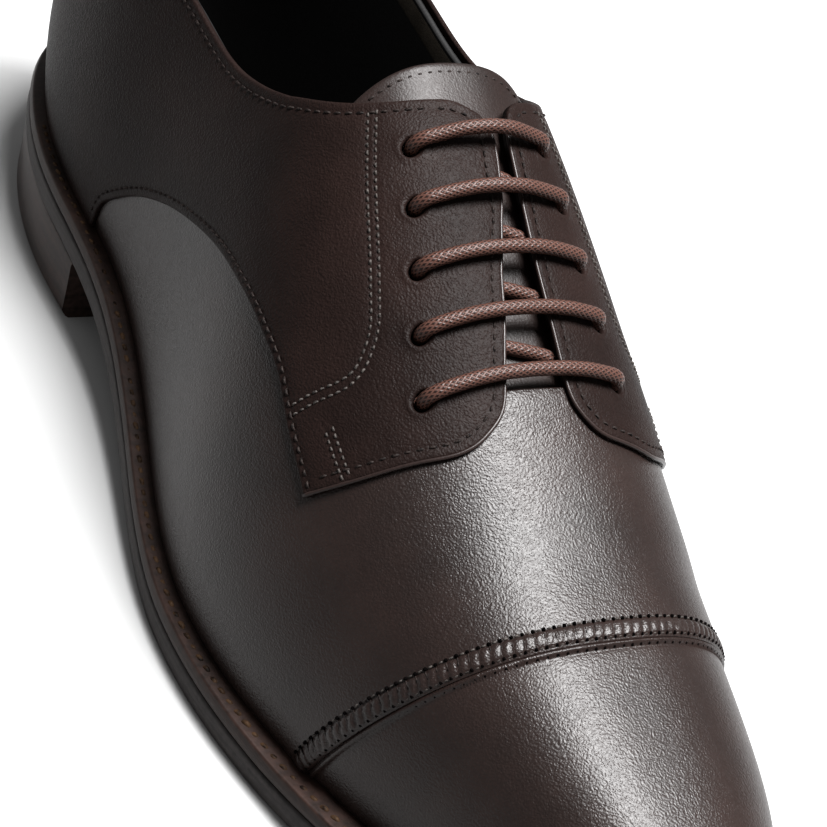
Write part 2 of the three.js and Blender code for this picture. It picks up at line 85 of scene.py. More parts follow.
# Sections of the last: share, lateral and medial half widths, crown, roundness of side and top.
SECTIONS = np.array([
    (0.000, 0.000, 0.000, 0.925, 2.20, 2.20), (0.020, 0.168, 0.158, 1.002, 2.20, 2.20),
    (0.060, 0.286, 0.250, 1.070, 2.20, 2.20), (0.130, 0.360, 0.296, 1.106, 2.25, 2.20),
    (0.220, 0.388, 0.316, 1.078, 2.40, 2.10), (0.330, 0.378, 0.338, 1.046, 2.50, 1.90),
    (0.450, 0.434, 0.418, 0.994, 2.55, 1.80), (0.570, 0.509, 0.478, 0.847, 2.35, 1.80),
    (0.660, 0.506, 0.484, 0.685, 2.30, 1.85), (0.740, 0.453, 0.456, 0.553, 2.40, 1.90),
    (0.820, 0.370, 0.410, 0.443, 2.60, 2.00), (0.890, 0.286, 0.356, 0.344, 2.55, 2.10),
    (0.950, 0.195, 0.259, 0.250, 2.40, 2.10), (0.985, 0.114, 0.150, 0.172, 2.35, 2.10),
    (1.000, 0.000, 0.000, 0.066, 2.30, 2.10)])
# Underside of the outsole: share of the length, shares of the heel lift and of the toe spring.
UNDERSIDE = np.array([
    (0.000, 1.06, 0.00), (0.066, 1.02, 0.00), (0.132, 1.00, 0.00), (0.200, 1.00, 0.00),
    (0.271, 0.93, 0.00), (0.331, 0.75, 0.00), (0.397, 0.49, 0.00), (0.480, 0.21, 0.00),
    (0.580, 0.03, 0.00), (0.680, 0.00, 0.00), (0.780, 0.00, 0.12), (0.894, 0.00, 0.53),
    (1.000, 0.00, 1.00)])
# Collar line: share of the length, height over the seat as a share of the back height.
COLLAR = np.array([
    (-0.05, 1.0), (0.03, 1.0), (0.12, 0.967), (0.22, 0.925), (0.293, 0.897), (0.345, 0.873),
    (0.37, 0.882), (0.423, 0.96), (0.465, 1.067), (0.481, 1.13), (0.50, 1.20)])
# Seams as share of the length and place across the last, from 0 at the crown to 1 at the feather.
COLLAR_FRONT = [(0.423, 0.399), (0.446, 0.326), (0.465, 0.241), (0.477, 0.140), (0.481, 0.070)]
QUARTER_SEAM = [
    (0.270, 1.0), (0.272, 0.985), (0.276, 0.958), (0.291, 0.914), (0.316, 0.857), (0.346, 0.798),
    (0.376, 0.746), (0.418, 0.682), (0.458, 0.628), (0.490, 0.593), (0.521, 0.565), (0.546, 0.549),
    (0.573, 0.538), (0.587, 0.542), (0.611, 0.551), (0.631, 0.557), (0.644, 0.564)]
TAB_LATERAL = [
    (0.644, -0.564), (0.658, -0.456), (0.666, -0.367), (0.672, -0.286), (0.676, -0.204),
    (0.674, -0.159), (0.669, -0.124), (0.663, -0.097), (0.655, -0.080), (0.645, -0.070),
    (0.605, -0.036), (0.587, -0.025), (0.571, -0.012), (0.532, 0.009), (0.512, 0.016),
    (0.498, 0.012), (0.489, -0.004), (0.483, -0.035), (0.481, -0.070)]
TAB_MEDIAL = [
    (0.644, 0.564), (0.660, 0.462), (0.670, 0.380), (0.675, 0.326), (0.677, 0.254),
    (0.677, 0.168), (0.674, 0.115), (0.667, 0.083), (0.658, 0.062), (0.642, 0.054),
    (0.602, 0.050), (0.567, 0.047), (0.531, 0.049), (0.512, 0.052), (0.502, 0.056),
    (0.492, 0.066), (0.484, 0.086), (0.480, 0.110), (0.478, 0.135)]
DOUBLE_ROW = [(0.474, 0.215), (0.500, 0.240), (0.524, 0.259), (0.555, 0.280), (0.578, 0.299), (0.592, 0.315),
              (0.601, 0.339), (0.607, 0.365), (0.609, 0.392), (0.606, 0.440), (0.602, 0.480), (0.598, 0.528)]
BAR_TACK = [(0.624, 0.463), (0.640, 0.463), (0.655, 0.462)]
# The cap seam's plane, the puffed band behind it, and its rows of stitches.
CAP_SHARE, CAP_HEIGHT, CAP_LEAN = 0.797, 53.5, 0.327
BAND = 4.0
# Eyelet rows from the top pair down: share of the length and half distance over the ball width.
EYELETS = {LATERAL: ((0.506, 0.144), (0.642, 0.225)), MEDIAL: ((0.506, 0.142), (0.642, 0.184))}
PAIRS = 5
HOLE = 1.95
LACE_RADIUS = 1.4


# Splines and the last's surface

def natural_spline(knots, values):
    knots, values = np.asarray(knots, float), np.asarray(values, float)
    n = len(knots)
    gaps = np.diff(knots)
    matrix = np.eye(n)
    right = np.zeros(n)
    for i in range(1, n - 1):
        matrix[i, i - 1:i + 2] = gaps[i - 1], 2 * (gaps[i - 1] + gaps[i]), gaps[i]
        right[i] = 6 * ((values[i + 1] - values[i]) / gaps[i] - (values[i] - values[i - 1]) / gaps[i - 1])
    bend = np.linalg.solve(matrix, right)

    def curve(x):
        x = np.asarray(x, float)
        k = np.clip(np.searchsorted(knots, x) - 1, 0, n - 2)
        h = gaps[k]
        t = (x - knots[k]) / h
        s = 1 - t
        return s * values[k] + t * values[k + 1] + h * h / 6 * ((s**3 - s) * bend[k] + (t**3 - t) * bend[k + 1])
    return curve


def station_of(share):
    return np.arccos(1 - 2 * np.clip(share, 0, 1)) / np.pi


def share_of(station):
    return (1 - np.cos(np.pi * np.asarray(station, float))) / 2


sole_half = {side: natural_spline(station_of(OUTLINE[:, 0]), OUTLINE[:, column])
             for side, column in ((LATERAL, 1), (MEDIAL, 2))}
body_half = {side: natural_spline(station_of(SECTIONS[:, 0]), SECTIONS[:, column])
             for side, column in ((LATERAL, 1), (MEDIAL, 2))}
crown = natural_spline(station_of(SECTIONS[:, 0]), SECTIONS[:, 3])
side_power = natural_spline(station_of(SECTIONS[:, 0]), SECTIONS[:, 4])
top_power = natural_spline(station_of(SECTIONS[:, 0]), SECTIONS[:, 5])
underside = natural_spline(UNDERSIDE[:, 0] * LENGTH, UNDERSIDE[:, 1] * HEEL_LIFT + UNDERSIDE[:, 2] * TOE_SPRING)
collar_height = natural_spline(COLLAR[:, 0] * LENGTH, SEAT + COLLAR[:, 1] * BACK_HEIGHT)


def tread(x):
    return np.maximum(0, underside(x) - TREAD_FLAT)


def taper(station):
    def ramp(t):
        return np.sin(np.pi * np.clip(t, 0, 0.5))
    return ramp(station * 6) * ramp((1 - station) * 6)


def middle(share):
    return -TOE_DRIFT * np.clip((share - 0.45) / 0.55, 0, 1)**2


def sole_point(station, side, grow):
    share = share_of(station)
    half = np.maximum(0, sole_half[side](station)) * BALL_WIDTH
    reach = np.where(half < 1e-6, 0, half + grow * taper(station))
    return share * (LENGTH + 2 * grow) - grow, middle(share) + side * reach


def last_point(station, across, grow=0.0):
    station, across, grow = np.broadcast_arrays(*(np.asarray(a, float) for a in (station, across, grow)))
    share = share_of(station)
    side = np.where(across < 0, LATERAL, MEDIAL)
    inset = WELT_STEP - grow
    edge = taper(station)
    outer, inner = (np.where(across < 0, half[LATERAL](station), half[MEDIAL](station)) * BALL_WIDTH
                    for half in (body_half, sole_half))
    body = outer + grow * edge
    back = np.maximum(0, 1 - share / BACK_SHARE)**2
    seat_fill = (WELT_STEP - SEAT_STEP) * back
    foot = inner - (inset - seat_fill - FOOT_FILL) * edge
    angle = (1 - np.abs(across)) * np.pi / 2
    lift = np.sin(angle)**(2 / top_power(station))
    tuck = np.maximum(0, 1 - lift / TUCK_LIFT)**3
    reach = body * np.cos(angle)**(2 / side_power(station)) - (body - foot) * tuck
    reach = np.where((edge < 1e-9) | (across == 0), 0, reach)
    x = inset + share * (LENGTH - 2 * inset)
    z = tread(x) + FEATHER + (crown(station) * INSTEP + grow) * lift
    above = (z - SEAT) / BACK_HEIGHT
    bulge = np.sin(np.pi * np.clip(above * 1.3, 0, 1))
    lean = (np.clip(above - 0.4, 0, 1.2) / 0.6)**2
    x = x + back * (BACK_LEAN * lean - BACK_BULGE * bulge) - seat_fill
    return np.stack([x, middle(share) + side * reach, z], -1)


# The shoe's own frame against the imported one, from the outsole's box.
station_line = np.linspace(0, 1, 2001)
widest = max(sole_point(station_line, MEDIAL, 0)[1])
narrowest = min(sole_point(station_line, LATERAL, 0)[1])
sole_low, sole_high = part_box("outsole")
SHIFT = np.array([(sole_low.x + sole_high.x) / 2 - LENGTH / 2000,
                  (sole_low.y + sole_high.y) / 2 - (widest + narrowest) / 2000, 0.0])


def to_world(points):
    return np.asarray(points, float) / 1000 + SHIFT


# Flat chart of the last: a runs along it and b across it, both near to millimetres.
CHART_A, CHART_B = 400.0, 90.0


def chart(share_x, across):
    share = (np.asarray(share_x, float) * LENGTH - WELT_STEP) / (LENGTH - 2 * WELT_STEP)
    return np.stack([station_of(share) * CHART_A, np.asarray(across, float) * CHART_B], -1)


def on_last(ab, grow=0.0):
    ab = np.asarray(ab, float)
    return last_point(np.clip(ab[..., 0] / CHART_A, 0, 1), np.clip(ab[..., 1] / CHART_B, -1, 1), grow)


def axes_at(ab, grow=0.0):
    """Steps in space along a and b, for one unit of each."""
    step = 0.4
    a = np.clip(ab[..., 0], step, CHART_A - step)
    b = np.clip(ab[..., 1], step - CHART_B, CHART_B - step)

    def point(da, db):
        return on_last(np.stack([a + da, b + db], -1), grow)
    return (point(step, 0) - point(-step, 0)) / (2 * step), (point(0, step) - point(0, -step)) / (2 * step)


def unit(vectors):
    return vectors / np.maximum(np.linalg.norm(vectors, axis=-1, keepdims=True), 1e-12)


def outward(ab, grow=0.0):
    along, across = axes_at(ab, grow)
    return unit(np.cross(along, across))


def resample(points, spacing, closed=False):
    """Even spacing in space along a line on the chart, its ends kept."""
    points = np.asarray(points, float)
    if closed:
        points = np.vstack([points, points[:1]])
    space = on_last(points)
    run = np.concatenate([[0], np.cumsum(np.linalg.norm(np.diff(space, axis=0), axis=1))])
    keep = np.concatenate([[True], np.diff(run) > 1e-9])
    points, run = points[keep], run[keep]
    count = max(2, int(round(run[-1] / spacing)) + 1)
    goal = np.linspace(0, run[-1], count)
    line = np.stack([np.interp(goal, run, points[:, k]) for k in (0, 1)], -1)
    return line[:-1] if closed else line


def smooth(rows, sign=1, spacing=0.8):
    """Smooth line on the chart through rows of share and place across."""
    points = chart([r[0] for r in rows], [sign * r[1] for r in rows])
    run = np.concatenate([[0], np.cumsum(np.linalg.norm(np.diff(points, axis=0), axis=1))])
    fine = np.linspace(0, run[-1], 40 * len(rows))
    line = np.stack([natural_spline(run, points[:, k])(fine) for k in (0, 1)], -1)
    line[:, 1] = np.clip(line[:, 1], -CHART_B, CHART_B)
    return resample(line, spacing)


def offset(line, distance, closed=False):
    """Line moved to its left by a distance in space, as seen on the chart."""
    if closed:
        step = np.roll(line, -1, 0) - np.roll(line, 1, 0)
    else:
        step = np.gradient(line, axis=0)
    along, across = axes_at(line)
    scale = np.stack([np.linalg.norm(along, axis=1), np.linalg.norm(across, axis=1)], -1)
    heading = unit(step * scale)
    left = np.stack([-heading[:, 1], heading[:, 0]], -1)
    return line + left * np.reshape(distance, (-1, 1)) / scale


def across_at(stations, side, height_of):
    """Place across the last where its height meets a line over x, for each station."""
    low, high = np.zeros_like(stations), np.ones_like(stations)
    for _ in range(40):
        mid = (low + high) / 2
        p = last_point(stations, side * mid)
        above = p[..., 2] > height_of(p[..., 0])
        low, high = np.where(above, mid, low), np.where(above, high, mid)
    return side * (low + high) / 2


def collar_line(side, end=0.423):
    back = station_of((np.linspace(0, end, 60) * LENGTH - WELT_STEP) / (LENGTH - 2 * WELT_STEP))
    back = np.unique(back)
    line = np.stack([back * CHART_A, across_at(back, side, collar_height) * CHART_B], -1)
    front = smooth([r for r in COLLAR_FRONT if side == LATERAL or r[1] > 0.13], side)
    return resample(np.vstack([line[:-1], front]), 0.8)


def seam_offset(points):
    """Distance behind the cap seam's plane."""
    seam = CAP_SHARE * LENGTH - (CAP_HEIGHT - points[..., 2]) * CAP_LEAN
    return (seam - points[..., 0]) / math.hypot(1, CAP_LEAN)


def cap_line(behind, spacing=0.8):
    """Line across the last at a distance behind the cap seam."""
    across = np.linspace(-1, 1, 161)
    low, high = np.full(161, station_of(0.6)), np.full(161, station_of(0.95))
    for _ in range(40):
        mid = (low + high) / 2
        before = seam_offset(last_point(mid, across)) > behind
        low, high = np.where(before, mid, low), np.where(before, high, mid)
    return resample(np.stack([low * CHART_A, across * CHART_B], -1), spacing)


# Meshes

def make_mesh(name, points, faces, material, slot, node_names=(), sharp=None, corner_uv=None):
    """Joined piece from points in the shoe's frame."""
    mesh = bpy.data.meshes.new(name)
    mesh.from_pydata(to_world(points).tolist(), [], faces)
    if corner_uv is not None:
        layer = mesh.uv_layers.new(name="UVMap")
        layer.data.foreach_set("uv", np.asarray(corner_uv, float).ravel())
    mesh.update()
    mesh.shade_smooth()
    if sharp:
        mesh.set_sharp_from_angle(angle=math.radians(sharp))
    mesh.materials.append(material)
    obj = bpy.data.objects.new(name, mesh)
    bpy.context.scene.collection.objects.link(obj)
    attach(obj, "root")
    if node_names:
        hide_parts(*node_names)
    return obj


def inside(points, polygon):
    """Which points of the chart lie inside a closed outline."""
    a, b = points[:, 0][:, None], points[:, 1][:, None]
    p, q = polygon, np.roll(polygon, -1, 0)
    cross = (p[:, 1] > b) != (q[:, 1] > b)
    slope = (q[:, 0] - p[:, 0]) / np.where(q[:, 1] == p[:, 1], 1e-12, q[:, 1] - p[:, 1])
    return (cross & (a < p[:, 0] + (b - p[:, 1]) * slope)).sum(1) % 2 == 1


def apart(points, others, distance):
    """Points of the chart that keep a distance from others."""
    if not len(points) or not len(others):
        return points
    tree = kdtree.KDTree(len(others))
    for i, p in enumerate(others):
        tree.insert((p[0], p[1], 0), i)
    tree.balance()
    far = [tree.find((p[0], p[1], 0))[2] > distance for p in points]
    return points[np.array(far)]


def panel(name, outline, material, slot, grow=0.0, thick=1.2, rounding=0.45, step=1.9, relief=None,
          rows=(), holes=(), nodes=(), zipped=None):
    """Leather piece over an outline on the chart, with rounded edges and its own thickness.

    rows are lines that need fine faces, holes are closed outlines, zipped says which corners
    lie on the line that closes heel or toe, where the piece goes on round it without an edge."""
    area = 0.5 * np.sum(outline[:, 0] * np.roll(outline[:, 1], -1) - np.roll(outline[:, 0], -1) * outline[:, 1])
    if area < 0:
        outline = outline[::-1]
    flat = zipped(outline) if zipped is not None else np.zeros(len(outline), bool)
    loops = [(outline, flat)]
    for hole in holes:
        loops.append((hole[::-1], np.zeros(len(hole), bool)))
    insets = []
    for loop, still in loops:
        distance = np.where(still, 0.0, 1.0)
        insets.append([offset(loop, distance * rounding * share, True) for share in (1.0, 0.3, 0.0)])
        for ring in insets[-1]:
            ring[still] = loop[still]
            ring[:, 0] = np.clip(ring[:, 0], 0, CHART_A)
            ring[:, 1] = np.clip(ring[:, 1], -CHART_B, CHART_B)
    border = np.vstack([ring[0] for ring in insets])

    def clear(points):
        ok = inside(points, insets[0][0])
        for ring in insets[1:]:
            ok &= ~inside(points, ring[0])
        return points[ok]

    fine = clear(np.vstack([np.asarray(r) for r in rows])) if rows else np.zeros((0, 2))
    fine = apart(fine, border, 0.3)
    low, high = outline.min(0), outline.max(0)
    grid_a, grid_b = np.meshgrid(np.arange(low[0], high[0], step), np.arange(low[1], high[1], step))
    grid = clear(np.stack([grid_a.ravel(), grid_b.ravel()], -1))
    grid = apart(apart(grid, border, 0.45 * step), fine, 0.5 * step)
    chart_points = np.vstack([border, fine, grid])
    edges, start = [], 0
    for ring in insets:
        n = len(ring[0])
        edges += [(start + i, start + (i + 1) % n) for i in range(n)]
        start += n
    out, _, triangles, origin, _, _ = geometry.delaunay_2d_cdt(
        [Vector(p) for p in chart_points], edges, [], 0, 1e-5)
    out = np.array([tuple(p) for p in out])
    place = {i: k for k, ids in enumerate(origin) for i in ids}
    triangles = np.array([t for t in triangles if len(t) == 3])
    centres = out[triangles].mean(1)
    keep = inside(centres, insets[0][0])
    for ring in insets[1:]:
        keep &= ~inside(centres, ring[0])
    triangles = triangles[keep]
    grow_of = grow if callable(grow) else (lambda ab: np.full(len(ab), float(grow)))
    thick_of = thick if callable(thick) else (lambda ab: np.full(len(ab), float(thick)))

    def face_points(ab, depth):
        level = grow_of(ab)
        points = on_last(ab, level)
        push = -np.asarray(depth, float)
        if relief is not None:
            push = push + relief(ab, points)
        return points + outward(ab) * np.reshape(push, (-1, 1))

    sheets = [face_points(out, np.zeros(len(out))), face_points(out, thick_of(out))]
    faces = [tuple(t) for t in triangles] + [tuple(t[::-1] + len(out)) for t in triangles]
    count = 2 * len(out)
    start = 0
    for (loop, still), rings in zip(loops, insets):
        n = len(loop)
        top = np.array([place[start + i] for i in range(n)])
        lines = [top]
        for ring, drop in ((rings[1], 0.3 * rounding), (rings[2], rounding)):
            sheets.append(face_points(ring, np.full(n, drop)))
            lines.append(count + np.arange(n))
            count += n
        sheets.append(face_points(rings[2], thick_of(rings[2])))
        lines.append(count + np.arange(n))
        count += n
        lines.append(top + len(out))
        for upper, lower in zip(lines, lines[1:]):
            for i in range(n):
                k = (i + 1) % n
                if not (still[i] and still[k]):
                    faces.append((int(upper[k]), int(upper[i]), int(lower[i]), int(lower[k])))
        start += n
    points, faces = weld(np.vstack(sheets), faces)
    return make_mesh(name, points, faces, material, slot, nodes)


def weld(points, faces):
    """Joins points that coincide and drops faces that collapse."""
    keys = np.round(points * 2000).astype(np.int64)
    _, first, where = np.unique(keys, axis=0, return_index=True, return_inverse=True)
    where = where.ravel()
    kept = []
    for face in faces:
        ring = []
        for i in face:
            k = int(where[i])
            if k not in ring:
                ring.append(k)
        if len(ring) > 2:
            kept.append(tuple(ring))
    return points[first], kept


def loft(rings, close_ends=True, closed=True):
    """Points and faces through rings of equal length."""
    rings = np.asarray(rings, float)
    count, size = rings.shape[:2]
    faces = []
    last = size if closed else size - 1
    for i in range(count - 1):
        for j in range(last):
            k = (j + 1) % size
            faces.append((i * size + j, (i + 1) * size + j, (i + 1) * size + k, i * size + k))
    if close_ends:
        faces.append(tuple(range(size)))
        faces.append(tuple(range(count * size - 1, (count - 1) * size - 1, -1)))
    return rings.reshape(-1, 3), faces


def plate(name, levels, material, slot, nodes, end=1.0, stations=260, sharp=50):
    """Closed plate on the sole's outline. Each level has a growth and a height over x."""
    line = np.linspace(0, end, stations)
    rings = []
    for station in line:
        ring = []
        for side, order in ((LATERAL, levels), (MEDIAL, levels[::-1])):
            for grow, height in order:
                x, y = sole_point(station, side, grow)
                ring.append((float(x), float(y), float(height(x))))
        rings.append(ring)
    size = len(rings[0])
    points, faces = loft(rings, close_ends=False)
    if end < 1:
        base = (stations - 1) * size
        faces += [(base + j + 1, base + j, base + size - 1 - j, base + size - 2 - j) for j in range(size // 2 - 1)]
    points, faces = weld(points, faces)
    return make_mesh(name, points, faces, material, slot, nodes, sharp=sharp)


# Stitches

def stitch_frames(line, grow, pitch):
    """Middle, heading, outward and sideways directions of each stitch on a row."""
    return frames_between(resample(line, pitch), grow)


def frames_between(row, grow):
    mid = (row[1:] + row[:-1]) / 2
    ends = on_last(row, grow)
    heading = unit(ends[1:] - ends[:-1])
    up = outward(mid)
    return (ends[1:] + ends[:-1]) / 2, heading, up, np.cross(up, heading)


def thread_mesh(name, frames, material, slot, length, radius, lift, slant=0.0, seed=1):
    """One small bowed thread for each stitch, all in one piece."""
    rng = np.random.default_rng(seed)
    rings, sides = 7, 7
    middle_, heading, up, aside = (np.concatenate(parts) for parts in zip(*frames))
    count = len(middle_)
    turn = slant + rng.normal(0, 0.05, (count, 1))
    heading, aside = heading + aside * turn, aside - heading * turn
    size = 1 + rng.normal(0, 0.05, (count, 1))
    points = np.zeros((count, rings, sides, 3))
    for i in range(rings):
        t = -1 + 2 * i / (rings - 1)
        centre = middle_ + heading * (t * length / 2) * size + up * (lift - radius * 1.7 * abs(t)**2.4)
        thin = radius * (1 - 0.45 * abs(t)**3)
        for j in range(sides):
            angle = 2 * math.pi * j / sides
            points[:, i, j] = centre + (aside * math.cos(angle) + up * math.sin(angle)) * thin * size
    faces = []
    block = rings * sides
    for s in range(count):
        base = s * block
        for i in range(rings - 1):
            for j in range(sides):
                k = (j + 1) % sides
                faces.append((base + i * sides + j, base + i * sides + k,
                              base + (i + 1) * sides + k, base + (i + 1) * sides + j))
        faces.append(tuple(base + j for j in reversed(range(sides))))
        faces.append(tuple(base + block - sides + j for j in range(sides)))
    return make_mesh(name, points.reshape(-1, 3), faces, material, slot)


def near_rows(rows, spacing=0.3):
    """Tree of points along rows, for distances in space."""
    points = np.vstack([on_last(resample(r, spacing)) for r in rows])
    tree = kdtree.KDTree(len(points))
    for i, p in enumerate(points):
        tree.insert(p, i)
    tree.balance()
    return tree


def groove(tree, points, depth, width):
    distance = np.array([tree.find(p)[2] for p in points])
    return -depth * np.exp(-(distance / width)**2)


def flanks(row, reaches=(-1.1, -0.5, 0.0, 0.5, 1.1), spacing=0.7):
    """Lines beside a row that give its groove fine faces."""
    even = resample(row, spacing)
    return [offset(even, d) for d in reaches]


# Materials

def new_material(name, color, roughness):
    material = bpy.data.materials.new(name)
    material.use_nodes = True
    tree = material.node_tree
    shader = tree.nodes["Principled BSDF"]
    shader.inputs["Base Color"].default_value = (*color, 1)
    shader.inputs["Roughness"].default_value = roughness
    return material, tree, shader


def node(tree, kind, inputs=None, **settings):
    made = tree.nodes.new(kind)
    for key, value in settings.items():
        setattr(made, key, value)
    for key, value in (inputs or {}).items():
        if isinstance(value, bpy.types.NodeSocket):
            tree.links.new(value, made.inputs[key])
        else:
            made.inputs[key].default_value = value
    return made


def ramp(tree, source, stops):
    made = node(tree, "ShaderNodeValToRGB", {"Fac": source})
    elements = made.color_ramp.elements
    while len(elements) < len(stops):
        elements.new(0.5)
    for element, (position, color) in zip(elements, stops):
        element.position = position
        element.color = (*color, 1) if len(color) == 3 else color
    return made.outputs["Color"]


def grey(value):
    return (value, value, value)


def leather(name, dark, light, roughness=(0.31, 0.4), grain=0.38, bump=0.15, coat=0.0, level=0.16):
    """Grained leather: rounded cells, finer pores, and slow changes of shade and gloss."""
    material, tree, shader = new_material(name, dark, roughness[0])
    where = node(tree, "ShaderNodeTexCoord").outputs["Object"]
    warp = node(tree, "ShaderNodeTexNoise", {"Vector": where, "Scale": 260.0, "Detail": 2.0})
    moved = node(tree, "ShaderNodeMix", {0: 0.0016, 4: where, 5: warp.outputs["Color"]}, data_type="VECTOR")
    cells = node(tree, "ShaderNodeTexVoronoi", {"Vector": moved.outputs[1], "Scale": 1000 / grain},
                 feature="SMOOTH_F1")
    pores = node(tree, "ShaderNodeTexNoise", {"Vector": where, "Scale": 1000 / (grain * 1.7), "Detail": 5.0,
                                              "Roughness": 0.6})
    slow = node(tree, "ShaderNodeTexNoise", {"Vector": where, "Scale": 38.0, "Detail": 5.0, "Roughness": 0.55})
    height = node(tree, "ShaderNodeMix", {0: 0.45, 2: cells.outputs["Distance"], 3: pores.outputs["Fac"]},
                  data_type="FLOAT")
    relief = node(tree, "ShaderNodeBump", {"Strength": 1.0, "Distance": bump / 1000, "Height": height.outputs[0]})
    tree.links.new(relief.outputs["Normal"], shader.inputs["Normal"])
    shade = ramp(tree, slow.outputs["Fac"], [(0.32, dark), (0.68, light)])
    speck = node(tree, "ShaderNodeTexNoise", {"Vector": where, "Scale": 1000 / grain, "Detail": 3.0})
    sand = ramp(tree, speck.outputs["Fac"], [(0.36, grey(0.76)), (0.64, grey(1.0))])
    color = node(tree, "ShaderNodeMix", {0: 1.0, 6: shade, 7: sand}, data_type="RGBA", blend_type="MULTIPLY")
    tree.links.new(color.outputs[2], shader.inputs["Base Color"])
    gloss = ramp(tree, pores.outputs["Fac"], [(0.3, grey(roughness[0])), (0.7, grey(roughness[1]))])
    tree.links.new(gloss, shader.inputs["Roughness"])
    shader.inputs["Specular IOR Level"].default_value = level
    shader.inputs["Coat Weight"].default_value = coat
    shader.inputs["Coat Roughness"].default_value = 0.3
    return material


def edge_material(name, dark, light, stripe=0.35, roughness=0.5, bump=0.1):
    """Trimmed and dyed sole edge: fine lines along the layers with small nicks."""
    material, tree, shader = new_material(name, dark, roughness)
    where = node(tree, "ShaderNodeTexCoord").outputs["Object"]
    squeeze = node(tree, "ShaderNodeMapping", {"Vector": where, "Scale": (60.0, 60.0, 1000 / stripe)})
    lines = node(tree, "ShaderNodeTexNoise", {"Vector": squeeze.outputs[0], "Scale": 1.0, "Detail": 3.0})
    nicks = node(tree, "ShaderNodeTexNoise", {"Vector": where, "Scale": 900.0, "Detail": 3.0})
    both = node(tree, "ShaderNodeMix", {0: 0.45, 2: lines.outputs["Fac"], 3: nicks.outputs["Fac"]},
                data_type="FLOAT")
    relief = node(tree, "ShaderNodeBump", {"Strength": 1.0, "Distance": bump / 1000, "Height": both.outputs[0]})
    tree.links.new(relief.outputs["Normal"], shader.inputs["Normal"])
    shade = ramp(tree, both.outputs[0], [(0.35, dark), (0.65, light)])
    tree.links.new(shade, shader.inputs["Base Color"])
    shader.inputs["Specular IOR Level"].default_value = 0.12
    return material


def thread(name, dark, light, roughness=0.55, blotch=2500.0, level=0.5):
    """Twisted thread: fine noise blotches in two tones, with a matching bump."""
    material, tree, shader = new_material(name, dark, roughness)
    where = node(tree, "ShaderNodeTexCoord").outputs["Object"]
    wisps = node(tree, "ShaderNodeTexNoise", {"Vector": where, "Scale": blotch, "Detail": 2.0})
    shade = ramp(tree, wisps.outputs["Fac"], [(0.35, dark), (0.65, light)])
    tree.links.new(shade, shader.inputs["Base Color"])
    relief = node(tree, "ShaderNodeBump", {"Strength": 0.6, "Distance": 0.0001, "Height": wisps.outputs["Fac"]})
    tree.links.new(relief.outputs["Normal"], shader.inputs["Normal"])
    shader.inputs["Specular IOR Level"].default_value = level
    return material


def lace_material_with_painted_shade(name, dark, light):
    """Waxed round braid: strands wound both ways, over and under each other; painted shade in the gaps, painted
    highlight on the crowns.
    """
    material, tree, shader = new_material(name, dark, 0.4)
    where = node(tree, "ShaderNodeTexCoord").outputs["UV"]
    split = node(tree, "ShaderNodeSeparateXYZ", {0: where})
    ridges = []
    for kind in ("ADD", "SUBTRACT"):
        turn = node(tree, "ShaderNodeMath", {0: split.outputs[0], 1: split.outputs[1]}, operation=kind)
        angle = node(tree, "ShaderNodeMath", {0: turn.outputs[0], 1: 2 * math.pi}, operation="MULTIPLY")
        wave = node(tree, "ShaderNodeMath", {0: angle.outputs[0]}, operation="SINE")
        ridges.append(wave.outputs[0])
    top = node(tree, "ShaderNodeMath", {0: ridges[0], 1: ridges[1]}, operation="MAXIMUM")
    height = node(tree, "ShaderNodeMapRange", {0: top.outputs[0], 1: -0.7, 2: 1.0})
    fibre = node(tree, "ShaderNodeTexNoise", {"Vector": where, "Scale": 5.0, "Detail": 3.0})
    mixed = node(tree, "ShaderNodeMix", {0: 0.25, 2: height.outputs[0], 3: fibre.outputs["Fac"]},
                 data_type="FLOAT")
    # Colour follows the strands' height: painted shade in the gaps between strands and painted highlight on their
    # crowns, mixed with a random fibre tone.
    shade = ramp(tree, mixed.outputs[0], [(0.25, dark), (0.8, light)])
    tree.links.new(shade, shader.inputs["Base Color"])
    relief = node(tree, "ShaderNodeBump", {"Strength": 1.0, "Distance": 0.00011, "Height": mixed.outputs[0]})
    tree.links.new(relief.outputs["Normal"], shader.inputs["Normal"])
    shader.inputs["Specular IOR Level"].default_value = 0.13
    return material


UPPER = leather("upper_leather", (0.0048, 0.0028, 0.0024), (0.0094, 0.0053, 0.0044))
QUARTER = leather("quarter_leather", (0.0042, 0.0025, 0.0022), (0.0086, 0.0049, 0.0042), roughness=(0.4, 0.52),
                  grain=0.42, bump=0.24, level=0.03)
TONGUE_LEATHER = leather("tongue_leather", (0.0055, 0.0034, 0.003), (0.010, 0.006, 0.0052),
                         roughness=(0.36, 0.45), bump=0.07, coat=0.0, level=0.1)
EDGE = leather("rolled_edge", (0.008, 0.005, 0.0045), (0.013, 0.008, 0.007), roughness=(0.28, 0.34), bump=0.02,
               level=0.12)
LINING = leather("lining_leather", (0.0022, 0.0021, 0.0022), (0.004, 0.0038, 0.0039),
                 roughness=(0.55, 0.7), bump=0.05, coat=0.0, level=0.2)
FELT = leather("collar_felt", (0.022, 0.018, 0.014), (0.07, 0.058, 0.045), roughness=(0.9, 1.0), grain=0.35,
               bump=0.25, coat=0.0, level=0.1)
WELT_LOOK = edge_material("welt_leather", (0.0045, 0.0022, 0.0016), (0.016, 0.008, 0.006))
OUTSOLE_LOOK = edge_material("outsole_rubber", (0.010, 0.0086, 0.0084), (0.026, 0.0222, 0.0215), stripe=0.7,
                             roughness=0.58)
HEEL_LOOK = edge_material("heel_stack", (0.006, 0.0042, 0.0038), (0.03, 0.0185, 0.0155), stripe=1.2, roughness=0.36,
                          bump=0.03)
THREAD = thread("upper_thread", (0.002, 0.0016, 0.0016), (0.014, 0.0105, 0.0095), 0.5, level=0.03)
